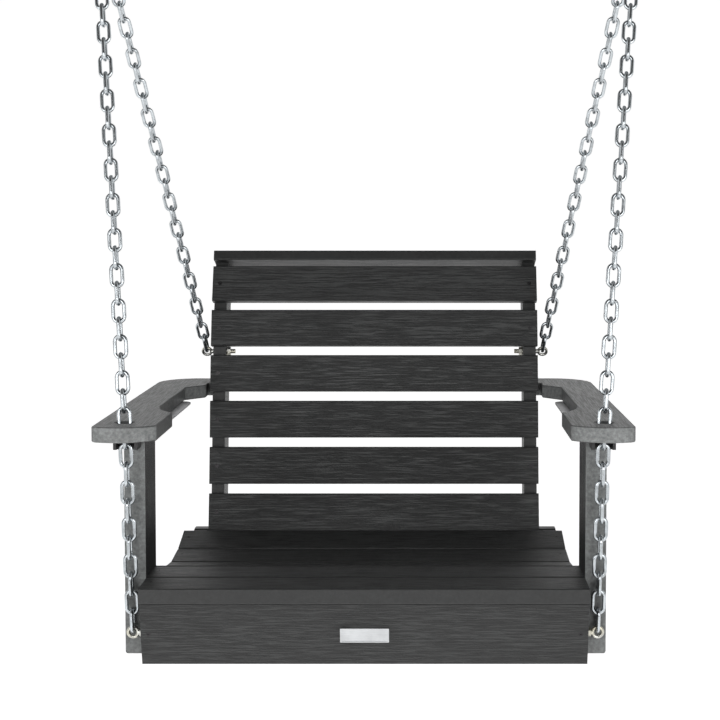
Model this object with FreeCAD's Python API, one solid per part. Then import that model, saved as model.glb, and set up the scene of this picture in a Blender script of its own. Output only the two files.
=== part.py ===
import FreeCAD, Part
import math
import os

# A one-seat porch swing of plastic lumber, hung on four chain runs from two ceiling eyes.
# Everything is drawn level first, in the seat's own frame: X across (right is +X seen from
# the front), Y from the nosing's front edge to the back, Z up from the top of the front slat.
# The last step tips it back by RECLINE and moves it under the hooks, so that the file's frame
# has its origin midway between the two ceiling eyes, on the underside of the beam, +Z up.

V = FreeCAD.Vector
ACROSS = V(1, 0, 0)

# ---- Driving dimensions, mm and degrees ----
SEAT_WIDTH = 640.0        # seat slats and both aprons, end to end
BACK_INSET = 35.0         # ends of the back slats and top cap, inside the seat's ends
BOARD = 22.2              # thickness of the seat, frame and arm boards
EASE = 2.0                # rounding along the long edges of every board

SEAT_SLAT_WIDE = 64.5
SEAT_GAP = 3.5
SEAT_SCREW_BACK = 40.0    # from a slat's front edge to its screws
SEAT_TILTS = (0.0, 0.0, 17.0, 6.0, -4.5, -14.5)     # each slat's fall to the back, front slat first

BACK_BOARD = 17.5         # thickness of the back slats and the cap
BACK_SLAT_WIDE = 63.5
BACK_GAP = 16.2
BACK_TILTS = (10.0, 7.0, 6.0, 8.0, 12.0, 19.0)      # each slat's lean back, lowest slat first
BACK_FOOT = (445.0, -16.0)                          # Y and Z of the lowest slat's front lower edge
CAP_GAP = 11.5            # from the highest slat to the cap
CAP_OVERHANG = 6.0        # cap beyond the back of the stiles

STILE_THICK = 22.0
STILE_INSET = 2.0         # stile face inside the slat ends
STILE_DEEP = 52.0
STILE_FOOT_Z = -106.0

FRAME_FOOT_Z = -111.0     # underside of the side frames and posts
FRAME_TAIL_Z = -30.0      # top of the side frames behind the seat
APRON_FOOT_Z = -117.0
APRON_TOP_GAP = 0.3       # shadow line between the nosing and the apron
APRON_LEAN = 13.0         # front apron's foot runs back by this angle
APRON_SETBACK = 6.0       # nosing's overhang over the apron
REAR_APRON_TOP_Z = -28.0
REAR_APRON_CLEAR = 1.5    # from the stiles to the rear apron
RAIL_TALL = 64.0
RAIL_DROP = 14.0          # from the lowest back slat's foot to the top of the rear rail

POST_THICK = 30.5
POST_BEHIND_CHAIN = 0.3   # from a link hung in the front eyebolt back to the post
POST_DEEP = 82.0
POST_CORNER = 4.0         # rounding of the post's lower outer edge

ARM_TOP_Z = 233.0
ARM_SIDE_CLEAR = 7.0      # from the ends of the back slats to the arm's inner edge
ARM_OVERHANG = 62.0       # arm's outer edge beyond the seat's end
ARM_WAIST_OUT = 2.0       # arm's inner edge along its middle, beyond the seat's end
ARM_BOW = 22.0            # how far the front edge bows out
ARM_CORNER_BACK = 0.6     # the outer front corner lies back by this share of the bow
ARM_TAIL_LONG = 72.5      # arm behind the step that reaches the stile
ARM_NOTCH_DEEP = 7.0      # hollow at the front of the waist, sideways
ARM_NOTCH = (12.0, 25.0, 57.0)      # hollow's start before the post's back, middle and end behind
ARM_TURN = (30.0, 65.0)   # the waist's rear slope ends and starts this far before the step
ARM_FRONT_CORNER = 12.0
ARM_TAIL_CORNER = 66.0
ARM_CLEAR = 6.0           # from the back slats to the step that reaches the stile

PLATE_THICK = 2.5         # steel plate under each arm
PLATE_INSIDE = 12.0       # plate's inner edge inside the seat's end
PLATE_MARGIN = 10.0       # plate's outer edge inside the arm's
PLATE_LEAD = 4.5          # plate in front of the post
PLATE_BEYOND = 282.5      # plate behind the post
PLATE_CORNER = 18.0       # rounding of its rear corners
PLATE_SCREW_ENDS = (20.0, 26.0)     # screws from the post's back and from the plate's end

LINK_WIRE = 5.5           # chain wire diameter
LINK_PITCH = 26.2         # nominal inside length of a link
LINK_PLAY = 5.0           # room beside the next link's wire, inside a link
LINK_GAP = 0.2            # between the wires of two neighbouring links
CHAIN_PLAY = 4.5          # hole in each arm and its guide, wider than a link
CHAIN_OUT = 22.0          # chain holes beyond the seat's end
CHAIN_Y = 28.0
CHAIN_BEND_DROP = 8.0     # the chain turns this far below the arm's top
GUIDE_WALL = 4.5          # guide beside the chain's hole
GUIDE_TALL = 17.5
GUIDE_FIT = 0.3           # from the guide's back to the plate behind it
GUIDE_CORNER = 1.0
GUIDE_SCREW_SIDE = 9.0    # guide screws each side of the chain
GUIDE_SCREW_FRONT = 8.5   # guide screws before the guide's back
GUIDE_SCREW_BITE = 14.0   # thread in the arm

EYE_WIRE = 5.0            # eyebolt wire diameter
EYE_ROOM = 2.0            # from a link's wire to the ring that it hangs in, all round
EYE_STAND = 17.0          # ring centre beyond the face that the front eyebolt enters
REAR_EYE_STAND = 13.0
BOLT_R = 4.0
BOLT_FIT = 0.1            # radial clearance of bolts and screws in the boards
NUT_FLATS = 13.0
NUT_THICK = 5.5
NUT_BEVEL = 0.4           # corners are bevelled down to the flats plus this much, each side
WASHER_R = 8.0
WASHER_THICK = 1.5
FRONT_EYE_Z = -76.0
FRONT_EYE_CLEAR = 0.6     # from the apron's back to the front eyebolt's inner washer
REAR_EYE_BEHIND = 16.0    # rear eyebolts behind the front edge of the stile
BOLT_TAIL = 8.0           # thread beyond the last nut

SCREW_R = 2.4
SCREW_HEAD_R = 3.4
SCREW_HEAD = 1.6
SCREW_LONG = 42.0
SCREW_EDGE = 22.0         # screws from the edges of the rear apron
POST_SCREW_EDGE = 26.0    # screws from the top and foot of the side frame, into the post
ARM_SCREWS_BACK = (10.0, 32.0)      # arm's screws behind the step at the stile
ARM_SCREW_BITE = 36.0     # arm's screws beyond the stile
PLATE_SCREW_SHORT = 4.0   # plate screws end this far below the arm's top
RECESS_SHARE = 0.6        # driver recess, as a share of the screw's radius

NAME_PLATE = (70.0, 22.0, 1.2)      # blank plate on the apron: wide, tall, thick
NAME_PLATE_Z = -71.0
NAME_PLATE_RIM = (1.6, 0.5)         # rim width and how far it stands up

HANG_OUT = 80.0           # ceiling eyes beyond the seat's ends
MEET_Y = 150.0            # where the chains of one side would meet, level frame
MEET_Z = 977.0
RECLINE = 9.9             # tips the seat back until its centre of mass is under the hooks

TOP_WIRE = 7.0            # wire diameter of the threaded top links
TOP_ROOM = 1.7            # between the first links of the two runs in a top link
TOP_LINK_STRAIGHT = 30.0
SLEEVE_LONG = 18.0
SLEEVE_FLATS = 12.0
CEILING_WIRE = 8.0
CEILING_RING = 14.0       # mean radius of a ceiling eye
CEILING_NECK = 6.0        # beam to the top of the ceiling eye's ring centre line
COLLAR_R = 11.0
COLLAR_THICK = 3.0
SHANK_R = 5.0
SHANK_LONG = 60.0
SWING_CLEAR = 0.3         # between a ceiling eye and the top link that swings on it

# ---- Sizes that follow from them ----
HALF_SEAT = SEAT_WIDTH / 2
HALF_BACK = HALF_SEAT - BACK_INSET
FRAME_INNER = HALF_SEAT - BOARD
STILE_OUTER = HALF_BACK - STILE_INSET
STILE_INNER = STILE_OUTER - STILE_THICK
ARM_INNER = HALF_BACK + ARM_SIDE_CLEAR
ARM_OUTER = HALF_SEAT + ARM_OVERHANG
ARM_WAIST = HALF_SEAT + ARM_WAIST_OUT
ARM_FOOT_Z = ARM_TOP_Z - BOARD
PLATE_INNER = HALF_SEAT - PLATE_INSIDE
PLATE_OUTER = ARM_OUTER - PLATE_MARGIN
CHAIN_X = HALF_SEAT + CHAIN_OUT
HANG_X = HALF_SEAT + HANG_OUT
POST_TOP_Z = ARM_FOOT_Z - PLATE_THICK
PLATE_SCREW_LONG = BOARD - PLATE_SCREW_SHORT + PLATE_THICK
RING_BOTTOM = CEILING_NECK + 2 * CEILING_RING
LINK_WIDE = 3 * LINK_WIRE + LINK_PLAY
CHAIN_HOLE = LINK_WIDE + CHAIN_PLAY
GUIDE_WIDE = CHAIN_HOLE + 2 * GUIDE_WALL
EYE_RING = (LINK_WIRE + EYE_WIRE) / 2 + EYE_ROOM


def lean(degrees):
    """Unit Y and Z steps along a board that leans back by this angle, and out of its back face."""
    angle = math.radians(degrees)
    return (math.sin(angle), math.cos(angle)), (math.cos(angle), -math.sin(angle))


def step(point, direction, length):
    return (point[0] + direction[0] * length, point[1] + direction[1] * length)


def seat_places():
    """Front top edge and fall of each seat slat, each one a gap behind the one before."""
    places = []
    spot = (0.0, 0.0)
    last = SEAT_TILTS[0]
    for tilt in SEAT_TILTS:
        if places:
            opening = SEAT_GAP + BOARD * max(0.0, math.sin(math.radians(tilt - last)))
            middle = math.radians((tilt + last) / 2)
            spot = step(spot, (math.cos(middle), -math.sin(middle)), opening)
        places.append((spot, tilt))
        fall = math.radians(tilt)
        spot = step(spot, (math.cos(fall), -math.sin(fall)), SEAT_SLAT_WIDE)
        last = tilt
    return places


def back_places():
    """Front lower edge and lean of each back slat, lowest first."""
    places = []
    spot = BACK_FOOT
    last = BACK_TILTS[0]
    for tilt in BACK_TILTS:
        if places:
            spot = step(spot, lean((tilt + last) / 2)[0], BACK_GAP)
        places.append((spot, tilt))
        spot = step(spot, lean(tilt)[0], BACK_SLAT_WIDE)
        last = tilt
    return places


def board_placement(spot, tilt):
    """Where a board lies whose front lower or upper edge is at this spot, leaned back by tilt."""
    return FreeCAD.Placement(V(0, spot[0], spot[1]), FreeCAD.Rotation(ACROSS, -tilt))


def slab(x, y, z):
    """Box between two values along each axis."""
    return Part.makeBox(x[1] - x[0], y[1] - y[0], z[1] - z[0], V(x[0], y[0], z[0]))


def runs_along(edge, direction):
    if not isinstance(edge.Curve, (Part.Line, Part.LineSegment)):
        return False
    tangent = edge.tangentAt(edge.FirstParameter)
    return abs(tangent.dot(direction)) > 0.999


def eased(shape, direction, radius=EASE):
    """Round the edges that run along a direction."""
    return shape.makeFillet(radius, [e for e in shape.Edges if runs_along(e, direction)])


def prism(points, x):
    """Solid with this outline in Y and Z, between two values of X."""
    corners = [V(x[0], p[0], p[1]) for p in points]
    face = Part.Face(Part.makePolygon(corners + corners[:1]))
    return face.extrude(V(x[1] - x[0], 0, 0))


def cylinder(start, direction, radius, length):
    return Part.makeCylinder(radius, length, start, direction)


def hexagon(start, direction, flats, length, bore):
    """Hexagonal nut or sleeve with a plain bore."""
    corner = flats / math.sqrt(3)
    turns = [i * math.pi / 3 for i in range(6)]
    points = [V(corner * math.cos(turn), corner * math.sin(turn), 0) for turn in turns]
    body = Part.Face(Part.makePolygon(points + points[:1])).extrude(V(0, 0, length))
    body = body.common(Part.makeCone(flats / 2 + NUT_BEVEL + length, flats / 2 + NUT_BEVEL, length))
    body = body.cut(Part.makeCylinder(bore, length))
    body.Placement = FreeCAD.Placement(start, FreeCAD.Rotation(V(0, 0, 1), direction))
    return body


def washer(start, direction, bore, radius=WASHER_R, thick=WASHER_THICK):
    return cylinder(start, direction, radius, thick).cut(cylinder(start, direction, bore, thick))


def screw(spot, length=SCREW_LONG):
    """Countersunk screw: spot is the middle of its head's face and the way it is driven."""
    point, direction = spot
    head = Part.makeCone(SCREW_HEAD_R, SCREW_R, SCREW_HEAD, point, direction)
    recess = cylinder(point, direction, SCREW_R * RECESS_SHARE, SCREW_HEAD * RECESS_SHARE)
    return head.fuse(cylinder(point, direction, SCREW_R, length)).cut(recess)


def screw_hole(spot, length=SCREW_LONG):
    """Room for that screw, with its clearance all round and a little depth to spare."""
    point, direction = spot
    wide, narrow = SCREW_HEAD_R + BOLT_FIT, SCREW_R + BOLT_FIT
    head = Part.makeCone(wide, narrow, SCREW_HEAD + BOLT_FIT, point, direction)
    start = point - direction * EASE
    mouth = cylinder(start, direction, wide, EASE)
    return head.fuse(cylinder(start, direction, narrow, length + 2 * EASE)).fuse(mouth)


def drilled(shape, spots, length=SCREW_LONG):
    for spot in spots:
        shape = shape.cut(screw_hole(spot, length))
    return shape


def mirrored(shape):
    return shape.mirror(V(0, 0, 0), ACROSS)


def both_spots(spots):
    """The given screw places and their mirror images."""
    flipped = [(V(-p.x, p.y, p.z), V(-d.x, d.y, d.z)) for p, d in spots]
    return spots + flipped


# ---- Screw places in the level frame ----
def frame_middle():
    return (FRAME_INNER + HALF_SEAT) / 2


def seat_spots(spot, tilt):
    """One screw at each end of a seat slat, into the side frames."""
    place = board_placement(spot, tilt)
    head = place.multVec(V(frame_middle(), SEAT_SCREW_BACK, 0))
    drive = place.Rotation.multVec(V(0, 0, -1))
    return both_spots([(head, drive)])


def back_spots(spot, tilt):
    """One screw at each end of a back slat, into the stiles."""
    along, back = lean(tilt)
    y, z = step(spot, along, BACK_SLAT_WIDE / 2)
    x = (STILE_INNER + STILE_OUTER) / 2
    return both_spots([(V(x, y, z), V(0, back[0], back[1]))])


def cap_spots():
    corner, along, back = cap_corner()
    spots = []
    for share in (0.3, 0.7):
        depth = BACK_BOARD + STILE_DEEP * share
        y, z = step(step(corner, along, BACK_BOARD), back, depth)
        spots.append((V((STILE_INNER + STILE_OUTER) / 2, y, z), V(0, -along[0], -along[1])))
    return both_spots(spots)


def apron_line(z):
    """Y of the front apron's front face at a height."""
    return APRON_SETBACK + (-BOARD - APRON_TOP_GAP - z) * math.tan(math.radians(APRON_LEAN))


def apron_back(z):
    return apron_line(z) + BOARD / math.cos(math.radians(APRON_LEAN))


def front_eye_y():
    return apron_back(FRONT_EYE_Z) + FRONT_EYE_CLEAR + WASHER_R


def post_front():
    return front_eye_y() + max(LINK_WIDE / 2, WASHER_R) + POST_BEHIND_CHAIN


def post_back():
    return post_front() + POST_DEEP


def plate_front():
    return post_front() - PLATE_LEAD


def plate_rear():
    return post_back() + PLATE_BEYOND


def guide_back():
    return plate_front() - GUIDE_FIT


def apron_drive():
    angle = math.radians(APRON_LEAN)
    return V(0, math.cos(angle), math.sin(angle))


def front_apron_spots():
    z = (APRON_FOOT_Z - BOARD) / 2
    return both_spots([(V(frame_middle(), apron_line(z), z), apron_drive())])


def rear_apron_y():
    """Front face of the rear apron, just behind the stiles."""
    y = stile_front(REAR_APRON_TOP_Z) + STILE_DEEP / math.cos(math.radians(BACK_TILTS[0]))
    return y + REAR_APRON_CLEAR


def rear_apron_spots():
    heights = [REAR_APRON_TOP_Z - SCREW_EDGE, FRAME_FOOT_Z + SCREW_EDGE]
    back = rear_apron_y() + BOARD
    return both_spots([(V(frame_middle(), back, z), V(0, -1, 0)) for z in heights])


def stile_front(z):
    """Y of the stile's front edge below the lowest slat, at a height."""
    along, back = lean(BACK_TILTS[0])
    corner = step(BACK_FOOT, back, BACK_BOARD)
    return corner[0] + (z - corner[1]) * along[0] / along[1]


def rail_corner():
    """Upper rear edge of the rear rail, on the line of the stiles' front edges."""
    along, back = lean(BACK_TILTS[0])
    corner = step(BACK_FOOT, back, BACK_BOARD)
    return step(corner, along, -RAIL_DROP), along, back


def rail_spots():
    """Two screws from the rear rail into each stile."""
    corner, along, back = rail_corner()
    spots = []
    for share in (0.25, 0.75):
        y, z = step(step(corner, along, -RAIL_TALL * share), back, -BOARD)
        spots.append((V((STILE_INNER + STILE_OUTER) / 2, y, z), V(0, back[0], back[1])))
    return both_spots(spots)


def rail_end_spots():
    """Two screws through each side frame into the end of the rear rail."""
    corner, along, back = rail_corner()
    spots = []
    for share in (0.25, 0.75):
        y, z = step(step(corner, along, -RAIL_TALL * share), back, -BOARD / 2)
        spots.append((V(HALF_SEAT, y, z), V(-1, 0, 0)))
    return both_spots(spots)


def post_spots():
    """Two screws from inside each side frame into its post."""
    heights = [-BOARD - POST_SCREW_EDGE, FRAME_FOOT_Z + POST_SCREW_EDGE]
    y = (post_front() + post_back()) / 2
    return both_spots([(V(FRAME_INNER, y, z), V(1, 0, 0)) for z in heights])


def plate_spots():
    """Screws from below through each arm's plate into the arm."""
    x = (ARM_WAIST + ARM_OUTER) / 2
    first = post_back() + PLATE_SCREW_ENDS[0]
    last = plate_rear() - PLATE_SCREW_ENDS[1]
    rows = [first, (first + last) / 2, last]
    return both_spots([(V(x, y, POST_TOP_Z), V(0, 0, 1)) for y in rows])


def post_top_spots():
    """Screws down through each plate into the top of its post."""
    x = HALF_SEAT + POST_THICK / 2
    rows = [post_front() + POST_DEEP * share for share in (0.25, 0.75)]
    return both_spots([(V(x, y, ARM_FOOT_Z), V(0, 0, -1)) for y in rows])


def arm_stile_spots():
    """Two screws through each stile into the inner edge of its arm."""
    z = ARM_TOP_Z - BOARD / 2
    rows = [arm_step_y() + back for back in ARM_SCREWS_BACK]
    return both_spots([(V(STILE_INNER, y, z), V(1, 0, 0)) for y in rows])


def guide_spots():
    """Two screws from below through each chain guide into the arm, behind the chain."""
    y = guide_back() - GUIDE_SCREW_FRONT
    z = ARM_FOOT_Z - GUIDE_TALL
    sides = (-GUIDE_SCREW_SIDE, GUIDE_SCREW_SIDE)
    return both_spots([(V(CHAIN_X + side, y, z), V(0, 0, 1)) for side in sides])


# ---- Seat frame ----
def seat_underside():
    """Outline points of the side frame's top, on the undersides of the slats."""
    points = []
    for spot, tilt in seat_places():
        fall = math.radians(tilt)
        along = (math.cos(fall), -math.sin(fall))
        down = (-math.sin(fall), -math.cos(fall))
        foot = step(spot, down, BOARD)
        points.append(foot)
        points.append(step(foot, along, SEAT_SLAT_WIDE))
    return points


def side_frame():
    """Board on edge under the slat ends: it follows the scoop of the seat."""
    top = seat_underside()[1:]
    front_top = (apron_back(-BOARD), -BOARD)
    rear = rear_apron_y()
    tail = [(rear, FRAME_TAIL_Z), (rear, FRAME_FOOT_Z), (apron_back(FRAME_FOOT_Z), FRAME_FOOT_Z)]
    body = prism([front_top] + top + tail, (FRAME_INNER, HALF_SEAT))
    for spot, tilt in seat_places():
        body = drilled(body, seat_spots(spot, tilt)[:1])
    body = drilled(body, front_apron_spots()[:1] + rear_apron_spots()[:2])
    body = drilled(body, rail_end_spots()[:2] + post_spots()[:2])
    return body.cut(bolt_hole(front_eye()))


def seat_slat(spot, tilt):
    body = slab((-HALF_SEAT, HALF_SEAT), (0, SEAT_SLAT_WIDE), (-BOARD, 0))
    body = eased(body, ACROSS)
    body.Placement = board_placement(spot, tilt)
    return drilled(body, seat_spots(spot, tilt))


def front_apron():
    top = -BOARD - APRON_TOP_GAP
    cut_foot = APRON_FOOT_Z + BOARD * math.sin(math.radians(APRON_LEAN))
    outline = [(apron_line(top), top), (apron_line(APRON_FOOT_Z), APRON_FOOT_Z)]
    outline += [(apron_back(cut_foot), cut_foot), (apron_back(top), top)]
    body = eased(prism(outline, (-HALF_SEAT, HALF_SEAT)), ACROSS)
    return drilled(body, front_apron_spots())


def rear_apron():
    front = rear_apron_y()
    body = slab((-HALF_SEAT, HALF_SEAT), (front, front + BOARD), (APRON_FOOT_Z, REAR_APRON_TOP_Z))
    return drilled(eased(body, ACROSS), rear_apron_spots())


def rear_rail():
    corner, along, back = rail_corner()
    foot = step(corner, along, -RAIL_TALL)
    outline = [corner, foot, step(foot, back, -BOARD), step(corner, back, -BOARD)]
    body = eased(prism(outline, (-FRAME_INNER, FRAME_INNER)), ACROSS)
    return drilled(drilled(body, rail_spots()), rail_end_spots())


# ---- Back ----
def back_slat(spot, tilt):
    body = slab((-HALF_BACK, HALF_BACK), (0, BACK_BOARD), (0, BACK_SLAT_WIDE))
    body = eased(body, ACROSS)
    body.Placement = board_placement(spot, tilt)
    return drilled(body, back_spots(spot, tilt))


def cap_corner():
    """Lower front edge of the cap, and the two ways it is laid out."""
    spot, tilt = back_places()[-1]
    along, back = lean(tilt)
    return step(spot, along, BACK_SLAT_WIDE + CAP_GAP), along, back


def top_cap():
    corner, along, back = cap_corner()
    deep = BACK_BOARD + STILE_DEEP + CAP_OVERHANG
    rear = step(corner, back, deep)
    outline = [corner, rear, step(rear, along, BACK_BOARD), step(corner, along, BACK_BOARD)]
    body = eased(prism(outline, (-HALF_BACK, HALF_BACK)), ACROSS)
    return drilled(body, cap_spots())


def back_stile():
    """Upright with its front cut to the slats and its back a smooth curve."""
    front = [(stile_front(STILE_FOOT_Z), STILE_FOOT_Z)]
    rear = [(front[0][0] + STILE_DEEP / math.cos(math.radians(BACK_TILTS[0])), STILE_FOOT_Z)]
    for spot, tilt in back_places():
        along, back = lean(tilt)
        seat = step(spot, back, BACK_BOARD)
        front += [seat, step(seat, along, BACK_SLAT_WIDE)]
        rear.append(step(step(seat, along, BACK_SLAT_WIDE / 2), back, STILE_DEEP))
    corner, along, back = cap_corner()
    front.append(step(corner, back, BACK_BOARD))
    rear.append(step(corner, back, BACK_BOARD + STILE_DEEP))
    x = STILE_INNER
    curve = Part.BSplineCurve()
    curve.interpolate([V(x, y, z) for y, z in reversed(rear)])
    corners = [V(x, y, z) for y, z in front]
    edges = Part.makePolygon(corners).Edges
    edges.append(Part.LineSegment(corners[-1], V(x, *rear[-1])).toShape())
    edges.append(curve.toShape())
    edges.append(Part.LineSegment(V(x, *rear[0]), corners[0]).toShape())
    body = Part.Face(Part.Wire(edges)).extrude(V(STILE_THICK, 0, 0))
    for spot, tilt in back_places():
        body = drilled(body, back_spots(spot, tilt)[:1])
    body = drilled(body, cap_spots()[:2] + rail_spots()[:2] + arm_stile_spots()[:2])
    return body.cut(bolt_hole(rear_eye()))


# ---- Arms ----
def arm_step_y():
    """Y where the arm steps in to reach the stile, behind the back slats beside it."""
    reach = 0.0
    for spot, tilt in back_places():
        along, back = lean(tilt)
        lower = step(spot, back, BACK_BOARD)
        upper = step(lower, along, BACK_SLAT_WIDE)
        if lower[1] < ARM_TOP_Z and upper[1] > ARM_FOOT_Z - BOARD:
            share = min(1.0, (ARM_TOP_Z - lower[1]) / (upper[1] - lower[1]))
            reach = max(reach, lower[0] + (upper[0] - lower[0]) * share)
    return reach + ARM_CLEAR


def arm_outline(z):
    """Right arm seen from above: bowed front, waist, and a tail beside the stile."""
    hollow, middle, end = ARM_NOTCH
    slope_end, slope_start = ARM_TURN
    rear = arm_step_y() + ARM_TAIL_LONG
    inner_front = V(ARM_INNER, 0, z)
    bow = V((ARM_INNER + ARM_OUTER) / 2, -ARM_BOW, z)
    outer_front = V(ARM_OUTER, -ARM_BOW * ARM_CORNER_BACK, z)
    outer_rear = V(ARM_OUTER, rear, z)
    tail_inner = V(STILE_OUTER, rear, z)
    stile_step = V(STILE_OUTER, arm_step_y(), z)
    slat_side = V(ARM_INNER, arm_step_y(), z)
    turn_out = V(ARM_INNER, arm_step_y() - slope_end, z)
    waist_rear = V(ARM_WAIST, arm_step_y() - slope_start, z)
    waist_front = V(ARM_WAIST, post_back() + end, z)
    notch = V(ARM_WAIST - ARM_NOTCH_DEEP, post_back() + middle, z)
    notch_end = V(ARM_INNER, post_back() - hollow, z)
    path = [outer_front, outer_rear, tail_inner, stile_step, slat_side, turn_out, waist_rear, waist_front]
    edges = [Part.Arc(inner_front, bow, outer_front)]
    edges += [Part.LineSegment(a, b) for a, b in zip(path, path[1:])]
    edges += [Part.Arc(waist_front, notch, notch_end), Part.LineSegment(notch_end, inner_front)]
    return Part.Wire([e.toShape() for e in edges])


def rounded_upright(body, x, y, radius):
    """Round the upright edge that stands at this place."""
    near = [e for e in body.Edges if runs_along(e, V(0, 0, 1)) and abs(e.BoundBox.XMin - x) < 0.1]
    return body.makeFillet(radius, [e for e in near if abs(e.BoundBox.YMin - y) < 0.1])


def arm():
    body = Part.Face(arm_outline(ARM_FOOT_Z)).extrude(V(0, 0, BOARD))
    body = rounded_upright(body, ARM_OUTER, -ARM_BOW * ARM_CORNER_BACK, ARM_FRONT_CORNER)
    body = rounded_upright(body, ARM_OUTER, arm_step_y() + ARM_TAIL_LONG, ARM_TAIL_CORNER)
    body = body.makeFillet(EASE, [e for e in body.Edges if e.BoundBox.ZLength < 0.01])
    hole = cylinder(V(CHAIN_X, CHAIN_Y, ARM_FOOT_Z), V(0, 0, 1), CHAIN_HOLE / 2, BOARD)
    mouth = V(CHAIN_X, CHAIN_Y, ARM_TOP_Z - EASE)
    flare = Part.makeCone(CHAIN_HOLE / 2, CHAIN_HOLE / 2 + EASE, EASE, mouth)
    body = body.cut(hole).cut(flare)
    body = drilled(body, plate_spots()[:3], PLATE_SCREW_LONG)
    body = drilled(body, guide_spots()[:2], GUIDE_TALL + GUIDE_SCREW_BITE)
    return drilled(body, arm_stile_spots()[:2], STILE_THICK + ARM_SCREW_BITE)


def arm_post():
    outer = HALF_SEAT + POST_THICK
    body = slab((HALF_SEAT, outer), (post_front(), post_back()), (FRAME_FOOT_Z, POST_TOP_Z))
    foot = [
        e for e in body.Edges
        if runs_along(e, V(0, 1, 0)) and e.BoundBox.ZMax < FRAME_FOOT_Z + 1 and e.BoundBox.XMin > outer - 1
    ]
    body = body.makeFillet(POST_CORNER, foot)
    body = drilled(body, post_spots()[:2])
    return drilled(body, post_top_spots()[:2])


def arm_plate():
    """Flat steel plate that ties the arm to its post, with rounded rear corners."""
    body = slab((PLATE_INNER, PLATE_OUTER), (plate_front(), plate_rear()), (POST_TOP_Z, ARM_FOOT_Z))
    for x in (PLATE_INNER, PLATE_OUTER):
        body = rounded_upright(body, x, plate_rear(), PLATE_CORNER)
    body = drilled(body, plate_spots()[:3])
    return drilled(body, post_top_spots()[:2])


def chain_guide():
    """Block behind the chain, under the arm, with a round hollow in front for the links."""
    half = GUIDE_WIDE / 2
    z = (ARM_FOOT_Z - GUIDE_TALL, ARM_FOOT_Z)
    body = slab((CHAIN_X - half, CHAIN_X + half), (CHAIN_Y, guide_back()), z)
    body = eased(body, V(0, 0, 1), GUIDE_CORNER)
    body = body.cut(cylinder(V(CHAIN_X, CHAIN_Y, z[0]), V(0, 0, 1), CHAIN_HOLE / 2, GUIDE_TALL))
    return drilled(body, guide_spots()[:2], GUIDE_TALL + GUIDE_SCREW_BITE)


def name_plate():
    """Blank plate with a raised rim, lying on the sloping front of the apron."""
    wide, tall, thick = NAME_PLATE
    rim, stand = NAME_PLATE_RIM
    body = slab((-wide / 2, wide / 2), (-thick - stand, 0), (-tall / 2, tall / 2))
    hollow = (-thick - stand, -thick)
    inner = slab((rim - wide / 2, wide / 2 - rim), hollow, (rim - tall / 2, tall / 2 - rim))
    body = eased(body.cut(inner), V(0, 1, 0), 1.0)
    body.Placement = board_placement((apron_line(NAME_PLATE_Z), NAME_PLATE_Z), -APRON_LEAN)
    return body


# ---- Eyebolts ----
def front_eye():
    """Ring centre of the right front eyebolt, the face it enters and where its thread comes out."""
    return V(HALF_SEAT + EYE_STAND, front_eye_y(), FRONT_EYE_Z), HALF_SEAT, FRAME_INNER


def rear_eye():
    """The same for the right rear eyebolt, between the second and third slats from the top."""
    spot, tilt = back_places()[-3]
    along, back = lean(tilt)
    middle = step(spot, along, BACK_SLAT_WIDE + BACK_GAP / 2)
    y, z = step(middle, back, BACK_BOARD + REAR_EYE_BEHIND)
    return V(STILE_OUTER + REAR_EYE_STAND, y, z), STILE_OUTER, STILE_INNER


def bolt_hole(eye):
    centre, outer, inner = eye
    return cylinder(V(inner, centre.y, centre.z), ACROSS, BOLT_R + BOLT_FIT, outer - inner)


def eyebolt(eye, pull):
    """Ring turned to face the chain's pull, on a shank that runs in towards the middle."""
    centre, outer, inner = eye
    ring = Part.makeTorus(EYE_RING, EYE_WIRE / 2, V(0, 0, 0), V(0, 1, 0))
    reach = centre.x - inner + WASHER_THICK + NUT_THICK + BOLT_TAIL
    shank = cylinder(V(-reach, 0, 0), ACROSS, BOLT_R, reach - EYE_RING)
    body = ring.fuse(shank)
    body.Placement = FreeCAD.Placement(centre, FreeCAD.Rotation(V(0, 0, 1), pull))
    return body


def eye_nuts(eye, outside):
    """Inner nut, and the outer lock nut where the bolt has one."""
    centre, outer, inner = eye
    bore = BOLT_R + BOLT_FIT
    nuts = [hexagon(V(inner - WASHER_THICK, centre.y, centre.z), -ACROSS, NUT_FLATS, NUT_THICK, bore)]
    if outside:
        start = V(outer + WASHER_THICK, centre.y, centre.z)
        nuts.append(hexagon(start, ACROSS, NUT_FLATS, NUT_THICK, bore))
    return nuts


def eye_washers(eye, outside):
    centre, outer, inner = eye
    bore = BOLT_R + BOLT_FIT
    rings = [washer(V(inner, centre.y, centre.z), -ACROSS, bore)]
    if outside:
        rings.append(washer(V(outer, centre.y, centre.z), ACROSS, bore))
    return rings


# ---- Chains, made directly in the hung frame ----
def in_side_plane(direction):
    return V(0, direction.y, direction.z).normalize()


def top_link_radius():
    """Mean radius of a top link's round ends, so that the first links of both runs clear."""
    meet = V(0, MEET_Y, MEET_Z)
    front = V(0, CHAIN_Y, ARM_TOP_Z - CHAIN_BEND_DROP) - meet
    half = front.getAngle(in_side_plane(rear_eye()[0] - meet)) / 2
    return (LINK_WIRE + TOP_ROOM) / (2 * math.sin(half)) + (TOP_WIRE + LINK_WIRE) / 2


def top_link_drop():
    """From the bottom of a ceiling eye's ring line to the middle of the top link's lower end."""
    return top_link_radius() - (CEILING_WIRE + TOP_WIRE) / 2 - SWING_CLEAR + TOP_LINK_STRAIGHT


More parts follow.
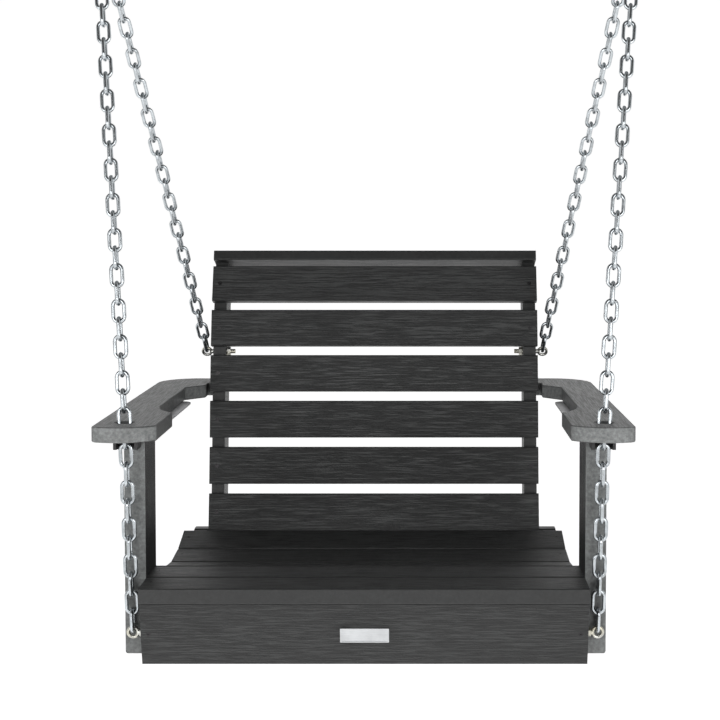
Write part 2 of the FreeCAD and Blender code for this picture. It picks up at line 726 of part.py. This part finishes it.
def hung(thing):
    """Move a shape or a point from the level frame to the hung frame."""
    turn = FreeCAD.Rotation(ACROSS, -RECLINE)
    target = V(0, 0, -RING_BOTTOM - top_link_drop())
    move = FreeCAD.Placement(target - turn.multVec(V(0, MEET_Y, MEET_Z)), turn)
    if isinstance(thing, FreeCAD.Vector):
        return move.multVec(thing)
    result = thing.copy()
    result.Placement = move.multiply(result.Placement)
    return result


def link_shape(inside):
    """Oval link, long way up Z, lying in the XZ plane."""
    bend = (LINK_WIDE - LINK_WIRE) / 2
    half = inside / 2 + LINK_WIRE / 2 - bend
    top = Part.Arc(V(bend, 0, half), V(0, 0, half + bend), V(-bend, 0, half))
    foot = Part.Arc(V(-bend, 0, -half), V(0, 0, -half - bend), V(bend, 0, -half))
    sides = [Part.LineSegment(V(-bend, 0, half), V(-bend, 0, -half))]
    sides.append(Part.LineSegment(V(bend, 0, -half), V(bend, 0, half)))
    path = Part.Wire([top.toShape(), sides[0].toShape(), foot.toShape(), sides[1].toShape()])
    section = Part.Wire([Part.Circle(V(bend, 0, half), V(0, 0, 1), LINK_WIRE / 2).toShape()])
    return path.makePipeShell([section], True, True)


def link_count(length, parity):
    """Whole number of links for a run, even (0) or odd (1)."""
    return 2 * round((length / (LINK_PITCH - LINK_GAP) - parity) / 2) + parity


def chain_run(start, end, count, crosswise):
    """Links from joint to joint: crosswise tells whether the first one lies across the seat."""
    run = end - start
    pitch = run.Length / count
    along = V(run).normalize()
    flat = along.cross(ACROSS).normalize()
    side = flat.cross(along)
    link = link_shape(pitch + LINK_GAP)
    links = []
    for i in range(count):
        normal = flat if (i % 2 == 0) == crosswise else side
        turn = FreeCAD.Rotation(normal.cross(along), normal, along, "ZXY")
        piece = link.copy()
        piece.Placement = FreeCAD.Placement(start + along * (pitch * (i + 0.5)), turn)
        links.append(piece)
    return links


def joint_at(wire_centre, wire_radius, towards):
    """Where the first link's joint lies, just behind the wire that it hangs round."""
    way = (towards - wire_centre).normalize()
    return wire_centre - way * (wire_radius + LINK_GAP / 2)


def top_wire(target):
    """Point of the top link's wire that faces a target."""
    meet = V(HANG_X, 0, -RING_BOTTOM - top_link_drop())
    return meet + in_side_plane(target - meet) * top_link_radius()


def eye_wire(centre, target):
    return centre + in_side_plane(target - centre) * EYE_RING


def chain_layout():
    """Ends and counts of the right-hand runs: upper front, lower front and rear."""
    bend = hung(V(CHAIN_X, CHAIN_Y, ARM_TOP_Z - CHAIN_BEND_DROP))
    front = eye_wire(hung(front_eye()[0]), bend)
    lower_end = joint_at(front, EYE_WIRE / 2, bend)
    upper_start = joint_at(top_wire(bend), TOP_WIRE / 2, bend)
    lower_count = link_count((lower_end - bend).Length, 1)
    upper_count = link_count((bend - upper_start).Length, 1)
    rear_centre = hung(rear_eye()[0])
    rear_top = top_wire(rear_centre)
    rear_end = joint_at(eye_wire(rear_centre, rear_top), EYE_WIRE / 2, rear_top)
    rear_start = joint_at(rear_top, TOP_WIRE / 2, rear_centre)
    rear_count = link_count((rear_end - rear_start).Length, 0)
    return {
        "front_upper": (upper_start, bend, upper_count, True),
        "front_lower": (bend, lower_end, lower_count, False),
        "rear": (rear_start, rear_end, rear_count, True),
    }


# ---- Top hardware, in the hung frame ----
def top_link():
    """Threaded oval link that joins both chains of one side to the ceiling eye."""
    half = TOP_LINK_STRAIGHT / 2
    radius = top_link_radius()
    centre = V(HANG_X, 0, -RING_BOTTOM - top_link_drop() + half)
    corners = [centre + V(0, y * radius, z * half) for y, z in ((1, 1), (-1, 1), (-1, -1), (1, -1))]
    crown = centre + V(0, 0, half + radius)
    foot = centre - V(0, 0, half + radius)
    edges = [Part.Arc(corners[0], crown, corners[1]), Part.LineSegment(corners[1], corners[2])]
    edges += [Part.Arc(corners[2], foot, corners[3]), Part.LineSegment(corners[3], corners[0])]
    path = Part.Wire([e.toShape() for e in edges])
    section = Part.Wire([Part.Circle(corners[0], V(0, 0, 1), TOP_WIRE / 2).toShape()])
    return path.makePipeShell([section], True, True)


def top_sleeve():
    """Hexagonal sleeve on the straight side that faces the front."""
    middle = -RING_BOTTOM - top_link_drop() + TOP_LINK_STRAIGHT / 2
    start = V(HANG_X, -top_link_radius(), middle - SLEEVE_LONG / 2)
    return hexagon(start, V(0, 0, 1), SLEEVE_FLATS, SLEEVE_LONG, TOP_WIRE / 2 + BOLT_FIT)


def ceiling_eye():
    """Screw eye: ring across the swing, collar against the beam and a shank up into it."""
    centre = V(HANG_X, 0, -CEILING_NECK - CEILING_RING)
    ring = Part.makeTorus(CEILING_RING, CEILING_WIRE / 2, centre, V(0, 1, 0))
    collar = cylinder(V(HANG_X, 0, -COLLAR_THICK), V(0, 0, 1), COLLAR_R, COLLAR_THICK)
    neck = cylinder(V(HANG_X, 0, -CEILING_NECK), V(0, 0, 1), CEILING_WIRE / 2, CEILING_NECK)
    shank = cylinder(V(HANG_X, 0, 0), V(0, 0, 1), SHANK_R, SHANK_LONG)
    point = Part.makeCone(SHANK_R, 1.0, SHANK_R * 2, V(HANG_X, 0, SHANK_LONG))
    return ring.fuse([collar, neck, shank, point])


# ---- The whole model ----
def level_pieces():
    """Every piece that is drawn level, by name, as a list of solids."""
    pieces = {"front_apron": [front_apron()], "rear_apron": [rear_apron()], "rear_rail": [rear_rail()]}
    for i, (spot, tilt) in enumerate(seat_places()):
        name = "nosing_slat" if i == 0 else "seat_slat_%d" % (i + 1)
        pieces[name] = [seat_slat(spot, tilt)]
    for i, (spot, tilt) in enumerate(back_places()):
        pieces["back_slat_%d" % (i + 1)] = [back_slat(spot, tilt)]
    pieces["top_cap"] = [top_cap()]
    pieces["name_plate"] = [name_plate()]
    paired = {"side_frame": side_frame, "back_stile": back_stile, "arm": arm, "arm_post": arm_post}
    paired.update({"arm_plate": arm_plate, "chain_guide": chain_guide})
    for name, make in paired.items():
        shape = make()
        pieces[name + "_right"] = [shape]
        pieces[name + "_left"] = [mirrored(shape)]
    pieces.update(fastenings())
    return pieces


def fastenings():
    """Screw and nut groups, one node for each kind."""
    seat = [screw(s) for spot, tilt in seat_places() for s in seat_spots(spot, tilt)]
    back = [screw(s) for spot, tilt in back_places() for s in back_spots(spot, tilt)]
    aprons = [screw(s) for s in front_apron_spots() + rear_apron_spots()]
    rails = [screw(s) for s in rail_spots() + rail_end_spots()]
    arms = [screw(s, PLATE_SCREW_LONG) for s in plate_spots()]
    arms += [screw(s, STILE_THICK + ARM_SCREW_BITE) for s in arm_stile_spots()]
    posts = [screw(s) for s in post_spots() + post_top_spots()]
    guides = [screw(s, GUIDE_TALL + GUIDE_SCREW_BITE) for s in guide_spots()]
    nuts = eye_nuts(front_eye(), True) + eye_nuts(rear_eye(), False)
    washers = eye_washers(front_eye(), True) + eye_washers(rear_eye(), False)
    return {
        "seat_screws": seat,
        "back_screws": back,
        "apron_screws": aprons,
        "rail_screws": rails,
        "cap_screws": [screw(s) for s in cap_spots()],
        "arm_screws": arms,
        "post_screws": posts,
        "guide_screws": guides,
        "eyebolt_nuts": nuts + [mirrored(n) for n in nuts],
        "eyebolt_washers": washers + [mirrored(w) for w in washers],
    }


def hung_pieces():
    """Chains, eyebolts and top hardware, which are drawn where they hang."""
    pieces = {}
    right = {name: chain_run(*ends) for name, ends in chain_layout().items()}
    for name, links in right.items():
        pieces["chain_%s_right" % name] = links
        pieces["chain_%s_left" % name] = [mirrored(link) for link in links]
    level = FreeCAD.Rotation(ACROSS, RECLINE)
    for name, eye, run in (("front", front_eye(), "front_lower"), ("rear", rear_eye(), "rear")):
        start, end = chain_layout()[run][:2]
        pull = level.multVec(in_side_plane(start - end))
        bolt = hung(eyebolt(eye, pull))
        pieces["%s_eyebolt_right" % name] = [bolt]
        pieces["%s_eyebolt_left" % name] = [mirrored(bolt)]
    for name, make in (("top_link", top_link), ("ceiling_eye", ceiling_eye)):
        shape = make()
        pieces[name + "_right"] = [shape]
        pieces[name + "_left"] = [mirrored(shape)]
    sleeve = top_sleeve()
    pieces["top_link_sleeves"] = [sleeve, mirrored(sleeve)]
    return pieces


def main():
    os.makedirs("parts", exist_ok=True)
    pieces = {name: [hung(s) for s in shapes] for name, shapes in level_pieces().items()}
    pieces.update(hung_pieces())
    for name, shapes in sorted(pieces.items()):
        whole = shapes[0] if len(shapes) == 1 else Part.makeCompound(shapes)
        whole.exportStep("parts/%s.step" % name)
        print("%-26s %3d solid(s)  %9.1f cm3" % (name, len(whole.Solids), whole.Volume / 1000))


main()
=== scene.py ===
import math

import bpy
from mathutils import Matrix, Vector


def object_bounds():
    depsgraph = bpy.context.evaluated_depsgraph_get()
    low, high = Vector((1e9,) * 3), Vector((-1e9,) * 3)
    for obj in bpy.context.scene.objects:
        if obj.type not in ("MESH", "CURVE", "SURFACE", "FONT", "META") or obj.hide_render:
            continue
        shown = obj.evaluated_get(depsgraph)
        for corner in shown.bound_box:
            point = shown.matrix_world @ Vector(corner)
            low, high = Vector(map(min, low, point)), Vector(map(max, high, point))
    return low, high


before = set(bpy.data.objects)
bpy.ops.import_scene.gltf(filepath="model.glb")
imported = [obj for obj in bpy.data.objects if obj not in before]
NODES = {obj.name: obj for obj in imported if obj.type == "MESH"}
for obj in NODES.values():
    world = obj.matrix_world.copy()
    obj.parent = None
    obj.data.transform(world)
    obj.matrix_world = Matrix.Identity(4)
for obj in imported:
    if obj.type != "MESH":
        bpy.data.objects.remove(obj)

# A one-seat porch swing of charcoal plastic lumber, hung on zinc chains. Units are metres, +Z up,
# with the origin on the beam between the ceiling eyes. The seat hangs tipped back by RECLINE.

START_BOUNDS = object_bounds()

RECLINE = math.radians(9.9)
LEVEL_TO_HUNG = Matrix.Rotation(-RECLINE, 3, "X")
BOARD_BACK = LEVEL_TO_HUNG @ Vector((0, 1, 0))      # from the front of the seat to its back
BOARD_UP = LEVEL_TO_HUNG @ Vector((0, 0, 1))        # square to the arms
ACROSS = Vector((1, 0, 0))
BACK_LEANS = (10.0, 7.0, 6.0, 8.0, 12.0, 19.0)      # degrees, lowest back slat first
SEAT_FALLS = (0.0, 0.0, 17.0, 6.0, -4.5, -14.5)     # degrees, front seat slat first
APRON_LEAN = 13.0


def turned(vector, degrees):
    """A direction of the level seat, leaned back by some degrees, in the hung frame."""
    return LEVEL_TO_HUNG @ (Matrix.Rotation(math.radians(-degrees), 3, "X") @ Vector(vector))


# ---- Camera and light ----
CAMERA_PLACE = (0.0772, -2.2189, -0.1352)
CAMERA_DOWN = 12.39     # degrees below level
CAMERA_LENS = 72.31     # millimetres, on a sensor 36 mm wide
CAMERA_SHIFT = (-0.0813, -0.12)

FLOOR_DROP = 0.45       # floor below the lowest point of the swing
FLOOR_REACH = 60.0
FLOOR_WHITE = 0.9
FLOOR_GLOW = 0.75

# Each shade of the sky: axis, where it starts and ends along it, and its strength there.
SKY_SHADES = (("Y", (-0.85, 0.15, 0.1, 1.0)), ("Z", (0.15, 0.75, 1.0, 0.22)))

# Each lamp: name, place, width and height, and power in watts.
LAMPS = (
    ("key", (-1.3, -2.8, 0.0), (1.8, 1.6), 37),
    ("fill", (1.5, -2.6, -0.05), (1.6, 1.6), 35),
    ("top", (0.3, 0.2, 1.6), (2.0, 1.6), 1.5),
)
AIM_SHARE = 0.75        # the lamps aim at this share of the sum of the lowest and highest Z


def make_camera():
    """Camera in front of the seat, a little to the right of its middle and above the back."""
    data = bpy.data.cameras.new("camera")
    data.lens = CAMERA_LENS
    data.sensor_width = 36
    data.shift_x, data.shift_y = CAMERA_SHIFT
    camera = bpy.data.objects.new("camera", data)
    bpy.context.scene.collection.objects.link(camera)
    camera.location = CAMERA_PLACE
    camera.rotation_euler = (math.radians(90 - CAMERA_DOWN), 0, 0)
    bpy.context.scene.camera = camera


def area_light(name, place, target, size, power):
    """Rectangular lamp that faces its target."""
    data = bpy.data.lights.new(name, "AREA")
    data.shape = "RECTANGLE"
    data.size, data.size_y = size
    data.energy = power
    light = bpy.data.objects.new(name, data)
    bpy.context.scene.collection.objects.link(light)
    light.location = place
    light.rotation_euler = (Vector(target) - Vector(place)).to_track_quat("-Z", "Y").to_euler()


def make_floor():
    """Pale floor far below the hanging seat, faintly lit from within like a studio table."""
    z = START_BOUNDS[0][2] - FLOOR_DROP
    mesh = bpy.data.meshes.new("floor")
    signs = ((-1, -1), (1, -1), (1, 1), (-1, 1))
    corners = [(x * FLOOR_REACH, y * FLOOR_REACH, z) for x, y in signs]
    mesh.from_pydata(corners, [], [(0, 1, 2, 3)])
    floor = bpy.data.objects.new("floor", mesh)
    bpy.context.scene.collection.objects.link(floor)
    pale = bpy.data.materials.new("pale_floor")
    pale.use_nodes = True
    shader = pale.node_tree.nodes["Principled BSDF"]
    shader.inputs["Base Color"].default_value = (FLOOR_WHITE, FLOOR_WHITE, FLOOR_WHITE, 1)
    shader.inputs["Roughness"].default_value = 0.9
    shader.inputs["Specular IOR Level"].default_value = 0.1
    shader.inputs["Emission Color"].default_value = (1, 1, 1, 1)
    shader.inputs["Emission Strength"].default_value = FLOOR_GLOW
    mesh.materials.append(pale)


def make_sky():
    """White studio for the eye; for light and reflections it is darker in front and above."""
    world = bpy.data.worlds.new("studio")
    world.use_nodes = True
    nodes, links = world.node_tree.nodes, world.node_tree.links
    split = nodes.new("ShaderNodeSeparateXYZ")
    links.new(nodes.new("ShaderNodeTexCoord").outputs["Generated"], split.inputs[0])
    shades = []
    for axis, limits in SKY_SHADES:
        shade = nodes.new("ShaderNodeMapRange")
        shade.interpolation_type = "SMOOTHSTEP"
        links.new(split.outputs[axis], shade.inputs["Value"])
        for socket, value in zip(("From Min", "From Max", "To Min", "To Max"), limits):
            shade.inputs[socket].default_value = value
        shades.append(shade.outputs[0])
    both = nodes.new("ShaderNodeMath")
    both.operation = "MULTIPLY"
    links.new(shades[0], both.inputs[0])
    links.new(shades[1], both.inputs[1])
    strength = nodes.new("ShaderNodeMix")
    links.new(nodes.new("ShaderNodeLightPath").outputs["Is Camera Ray"], strength.inputs["Factor"])
    links.new(both.outputs[0], strength.inputs[2])
    strength.inputs[3].default_value = 1.0
    links.new(strength.outputs[0], nodes["Background"].inputs["Strength"])
    nodes["Background"].inputs["Color"].default_value = (1, 1, 1, 1)
    bpy.context.scene.world = world


def make_stage():
    """Floor, sky and broad lamps."""
    make_floor()
    make_sky()
    low, high = START_BOUNDS
    seat = Vector((0, 0, (low[2] + high[2]) * AIM_SHARE))
    for name, place, size, power in LAMPS:
        area_light(name, place, seat, size, power)
    bpy.context.scene.view_settings.view_transform = "Standard"


# ---- Node helpers ----
class Nodes:
    """Short ways to add and join shader nodes in one material."""

    def __init__(self, name):
        self.material = bpy.data.materials.new(name)
        self.material.use_nodes = True
        self.tree = self.material.node_tree
        self.shader = self.tree.nodes["Principled BSDF"]

    def add(self, kind, settings=None, **inputs):
        """New node with its settings, and its inputs as put takes them."""
        node = self.tree.nodes.new(kind)
        for key, value in (settings or {}).items():
            setattr(node, key, value)
        for key, value in inputs.items():
            self.put(node, key.replace("_", " "), value)
        return node

    def put(self, node, socket, value):
        """Link or set an input, by its name, or by i and its number where names repeat."""
        target = node.inputs[int(socket[1:])] if socket[1:].isdigit() else node.inputs[socket]
        if isinstance(value, bpy.types.NodeSocket):
            self.tree.links.new(value, target)
        else:
            target.default_value = value

    def math(self, operation, a, b=0.0, c=0.0):
        return self.add("ShaderNodeMath", {"operation": operation}, i0=a, i1=b, i2=c).outputs[0]

    def dot(self, a, b):
        settings = {"operation": "DOT_PRODUCT"}
        return self.add("ShaderNodeVectorMath", settings, i0=a, i1=tuple(b)).outputs["Value"]

    def moved(self, vector, by):
        settings = {"operation": "ADD"}
        return self.add("ShaderNodeVectorMath", settings, i0=vector, i1=by).outputs[0]

    def span(self, value, low=0.0, high=1.0, start=0.0, end=1.0):
        """The start value below low, the end value above high, and even between them."""
        node = self.add("ShaderNodeMapRange", Value=value, From_Min=low, From_Max=high)
        node.inputs["To Min"].default_value = start
        node.inputs["To Max"].default_value = end
        return node.outputs[0]

    def ramp(self, value, stops):
        """Colour or grey at each stop, and even between them."""
        node = self.add("ShaderNodeValToRGB", i0=value)
        while len(node.color_ramp.elements) < len(stops):
            node.color_ramp.elements.new(0.5)
        for element, (at, colour) in zip(node.color_ramp.elements, stops):
            element.position = at
            shade = colour if isinstance(colour, tuple) else (colour, colour, colour)
            element.color = (*shade, 1)
        return node.outputs[0]

    def mix(self, share, a, b, kind="MIX"):
        node = self.add("ShaderNodeMix", {"data_type": "RGBA", "blend_type": kind})
        self.put(node, "Factor", share)
        self.put(node, "i6", a)
        self.put(node, "i7", b)
        return node.outputs[2]

    def noise(self, vector, scale, detail=4.0, rough=0.5, distort=0.0):
        node = self.add("ShaderNodeTexNoise", Vector=vector, Scale=scale, Detail=detail)
        node.inputs["Roughness"].default_value = rough
        node.inputs["Distortion"].default_value = distort
        return node.outputs[0]

    def bump(self, height, strength, distance, normal=None):
        node = self.add("ShaderNodeBump", Height=height, Strength=strength, Distance=distance)
        if normal is not None:
            self.tree.links.new(normal, node.inputs["Normal"])
        return node.outputs[0]


def grey(value):
    return (value, value, value * 1.01, 1)


# ---- Materials ----
def lumber(name, grain, face, seed, shade=0.026, embossed=1.0, painted_front_light=1.0):
    """Charcoal plastic lumber: fine embossed grain on the broad faces, plainer edges and ends.

    grain is the direction that the streaks run in, face the normal of the broad faces,
    embossed how strongly the grain covers them, and the last argument how much lighter the
    edges that face the front are painted than the moulded faces: a painted highlight. The other
    edges are painted darker, a painted shade.
    """
    n = Nodes(name)
    place = n.add("ShaderNodeTexCoord")
    here = place.outputs["Object"]
    wide = Vector(grain).cross(Vector(face))
    along, over, out = [n.dot(here, way) for way in (grain, wide, face)]
    wander = n.noise(here, 11.0, 2.0)
    stretched = n.add("ShaderNodeCombineXYZ")
    n.put(stretched, "i0", n.math("MULTIPLY_ADD", along, 20.0, seed))
    n.put(stretched, "i1", n.math("MULTIPLY_ADD", wander, 2.6, n.math("MULTIPLY", over, 560.0)))
    n.put(stretched, "i2", n.math("MULTIPLY_ADD", out, 60.0, seed))
    streaks = n.noise(stretched.outputs[0], 1.0, 5.0, 0.66, 0.25)
    pores = n.noise(here, 750.0, 3.0, 0.65)
    mottle = n.noise(here, 190.0, 4.0, 0.7)
    clouds = n.noise(n.moved(here, (seed, 0, 0)), 5.0, 3.0)
    broad = n.span(n.math("ABSOLUTE", n.dot(place.outputs["Normal"], face)), 0.85, 0.97)
    front = n.span(n.dot(place.outputs["Normal"], -BOARD_BACK), 0.55, 0.75)
    cover = n.math("MULTIPLY", broad, embossed)
    groove = n.ramp(streaks, [(0.41, 0.0), (0.49, 0.45), (0.56, 1.0), (0.68, 0.85)])
    grained = n.ramp(groove, [(0.0, shade * 0.1), (0.5, shade * 0.8), (1.0, shade * 1.9)])
    speckled = n.ramp(mottle, [(0.32, shade * 0.62), (0.5, shade), (0.68, shade * 1.45)])
    # Painted light on the edges: edges that face the front are painted lighter, a painted highlight,
    # and the other edges darker, a painted shade.
    painted_edge_tone = n.mix(front, (0.6, 0.6, 0.6, 1), (painted_front_light, painted_front_light, painted_front_light, 1))
    edges = n.mix(broad, n.mix(1.0, speckled, painted_edge_tone, "MULTIPLY"), speckled)
    base = n.mix(cover, edges, grained)
    tint = n.ramp(clouds, [(0.3, (0.8, 0.84, 0.83)), (0.7, (1.11, 1.15, 1.14))])
    base = n.mix(1.0, base, tint, "MULTIPLY")
    # Convex edges are painted darker: painted shade standing in for the dark lines along the eased
    # edges.
    pointiness = n.add("ShaderNodeNewGeometry").outputs["Pointiness"]
    painted_edge_shade = n.ramp(pointiness, [(0.51, 0.0), (0.58, 1.0)])
    base = n.mix(n.math("MULTIPLY", painted_edge_shade, 0.55), base, grey(shade * 0.45))
    n.put(n.shader, "Base Color", base)
    relief = n.math("ADD", n.math("MULTIPLY", groove, 0.5), pores)
    n.put(n.shader, "Roughness", n.span(relief, start=0.6, end=0.42))
    n.shader.inputs["Specular IOR Level"].default_value = 0.46
    fine = n.bump(n.math("ADD", pores, mottle), 0.2, 0.0003)
    n.put(n.shader, "Normal", n.bump(n.math("MULTIPLY", groove, cover), 0.8, 0.0005, fine))
    return n.material


def zinc(name, colour, yellow=0.0, rough=0.27, seed=0.0):
    """Bright zinc plating with cloudy dulling, small pits and an optional warm cast."""
    n = Nodes(name)
    here = n.add("ShaderNodeTexCoord").outputs["Object"]
    shifted = n.moved(here, (seed, seed, 0))
    patches = n.noise(shifted, 70.0, 4.0, 0.6)
    pits = n.noise(shifted, 1400.0, 3.0, 0.7)
    dull = tuple(c * 0.62 for c in colour)
    warm = (colour[0] * 0.95, colour[1] * 0.86, colour[2] * 0.62)
    base = n.ramp(patches, [(0.3, dull), (0.55, colour), (0.8, colour)])
    spots = n.ramp(n.noise(shifted, 38.0, 2.0), [(0.45, 0.0), (0.65, 1.0)])
    cast = n.math("MULTIPLY", spots, yellow)
    n.put(n.shader, "Base Color", n.mix(cast, base, (*warm, 1)))
    n.shader.inputs["Metallic"].default_value = 1.0
    n.put(n.shader, "Roughness", n.span(patches, start=rough + 0.18, end=rough - 0.06))
    n.put(n.shader, "Normal", n.bump(pits, 0.18, 0.0002, n.bump(patches, 0.25, 0.0004)))
    return n.material


def black_moulding():
    """Fine-textured black plastic of the chain guides."""
    n = Nodes("guide_black")
    here = n.add("ShaderNodeTexCoord").outputs["Object"]
    grain = n.noise(here, 1100.0, 3.0, 0.6)
    clouds = n.noise(here, 30.0, 2.0)
    n.put(n.shader, "Base Color", n.ramp(clouds, [(0.3, 0.007), (0.7, 0.013)]))
    n.put(n.shader, "Roughness", n.ramp(grain, [(0.3, 0.36), (0.7, 0.55)]))
    n.put(n.shader, "Normal", n.bump(grain, 0.3, 0.0002))
    return n.material


def brushed_plate(name, colour, along, rough=0.3):
    """Metal with fine brush lines in one direction."""
    n = Nodes(name)
    here = n.add("ShaderNodeTexCoord").outputs["Object"]
    mapped = n.add("ShaderNodeMapping", Vector=here)
    mapped.inputs["Scale"].default_value = tuple(30.0 if a else 1500.0 for a in along)
    lines = n.noise(mapped.outputs[0], 1.0, 4.0, 0.7)
    smudge = n.noise(here, 45.0, 3.0)
    light = tuple(min(1.0, c * 1.12) for c in colour)
    dark = tuple(c * 0.8 for c in colour)
    brushed = n.ramp(lines, [(0.3, dark), (0.7, light)])
    smudged = n.ramp(smudge, [(0.35, dark), (0.65, light)])
    n.put(n.shader, "Base Color", n.mix(0.5, brushed, smudged))
    n.shader.inputs["Metallic"].default_value = 1.0
    n.put(n.shader, "Roughness", n.span(smudge, start=rough, end=rough + 0.15))
    n.put(n.shader, "Normal", n.bump(lines, 0.2, 0.0001))
    return n.material


def paint(node, material):
    """Give a CAD node this one material."""
    mesh = NODES[node].data
    mesh.materials.clear()
    mesh.materials.append(material)


def dress_lumber():
    """Every board gets its own lumber, with the grain along it and a place of its own in the noise."""
    up, back = BOARD_UP, BOARD_BACK
    for i, lean in enumerate(BACK_LEANS):
        face = turned((0, -1, 0), lean)
        # shade=0.03 paints the back slats lighter than the other boards: painted light.
        board = lumber("lumber_back_%d" % (i + 1), ACROSS, face, 3.1 * i, shade=0.03)
        paint("back_slat_%d" % (i + 1), board)
    for i, fall in enumerate(SEAT_FALLS):
        node = "nosing_slat" if i == 0 else "seat_slat_%d" % (i + 1)
        paint(node, lumber("lumber_" + node, ACROSS, turned((0, 0, 1), fall), 20 + 2.7 * i))
    paint("top_cap", lumber("lumber_cap", ACROSS, turned((0, 0, 1), BACK_LEANS[-1]), 41.0))
    apron_face = turned((0, -1, 0), -APRON_LEAN)
    # shade=0.022 paints the front apron darker than the other boards: painted shade, as it faces down,
    # away from the light.
    paint("front_apron", lumber("lumber_apron", ACROSS, apron_face, 47.0, shade=0.022))
    paint("rear_apron", lumber("lumber_rear_apron", ACROSS, -back, 53.0))
    rail_face = turned((0, -1, 0), BACK_LEANS[0])
    paint("rear_rail", lumber("lumber_rail", ACROSS, rail_face, 59.0))
    for k, side in enumerate(("left", "right")):
        seed = 61.0 + 11.3 * k
        # The arms are painted about four times lighter than the other boards, a painted sheen standing
        # in for the light on their tops; their front edges are painted lighter still and their side
        # edges darker, painted light and shade.
        arm = lumber("lumber_arm_" + side, back, up, seed, shade=0.115, embossed=0.45, painted_front_light=1.5)
        # The posts are painted darker than the other boards, a painted shade on their inner sides, and
        # their front edges far lighter, a painted highlight.
        post = lumber("lumber_post_" + side, up, ACROSS, seed + 2, shade=0.012, painted_front_light=28.0)
        stile = lumber("lumber_stile_" + side, turned((0, 0, 1), BACK_LEANS[0]), ACROSS, seed + 4)
        paint("arm_" + side, arm)
        paint("arm_post_" + side, post)
        paint("back_stile_" + side, stile)
        paint("side_frame_" + side, lumber("lumber_frame_" + side, back, ACROSS, seed + 6))


def dress_metal():
    """Chains, fittings, screws, plates and the black chain guides."""
    chain = zinc("chain_zinc", (0.50, 0.53, 0.55), 0.0, 0.16)
    fitting = zinc("hardware_zinc", (0.56, 0.56, 0.53), 0.5, 0.24, 5.0)
    steel = zinc("screw_steel", (0.05, 0.048, 0.05), 0.1, 0.34, 9.0)
    plate = brushed_plate("plate_metal", (0.52, 0.53, 0.54), (True, False, False))
    brace = brushed_plate("arm_plate_steel", (0.66, 0.66, 0.67), (False, True, False), 0.45)
    black = black_moulding()
    for node in NODES:
        if node.startswith("chain_guide"):
            paint(node, black)
        elif node.startswith("chain_"):
            paint(node, chain)
        elif node.startswith("arm_plate"):
            paint(node, brace)
        elif node == "name_plate":
            paint(node, plate)
        elif node.endswith("screws"):
            paint(node, steel)
        elif node.startswith(("eyebolt", "front_eyebolt", "rear_eyebolt", "top_link", "ceiling_eye")):
            paint(node, fitting)


make_camera()
make_stage()
dress_lumber()
dress_metal()
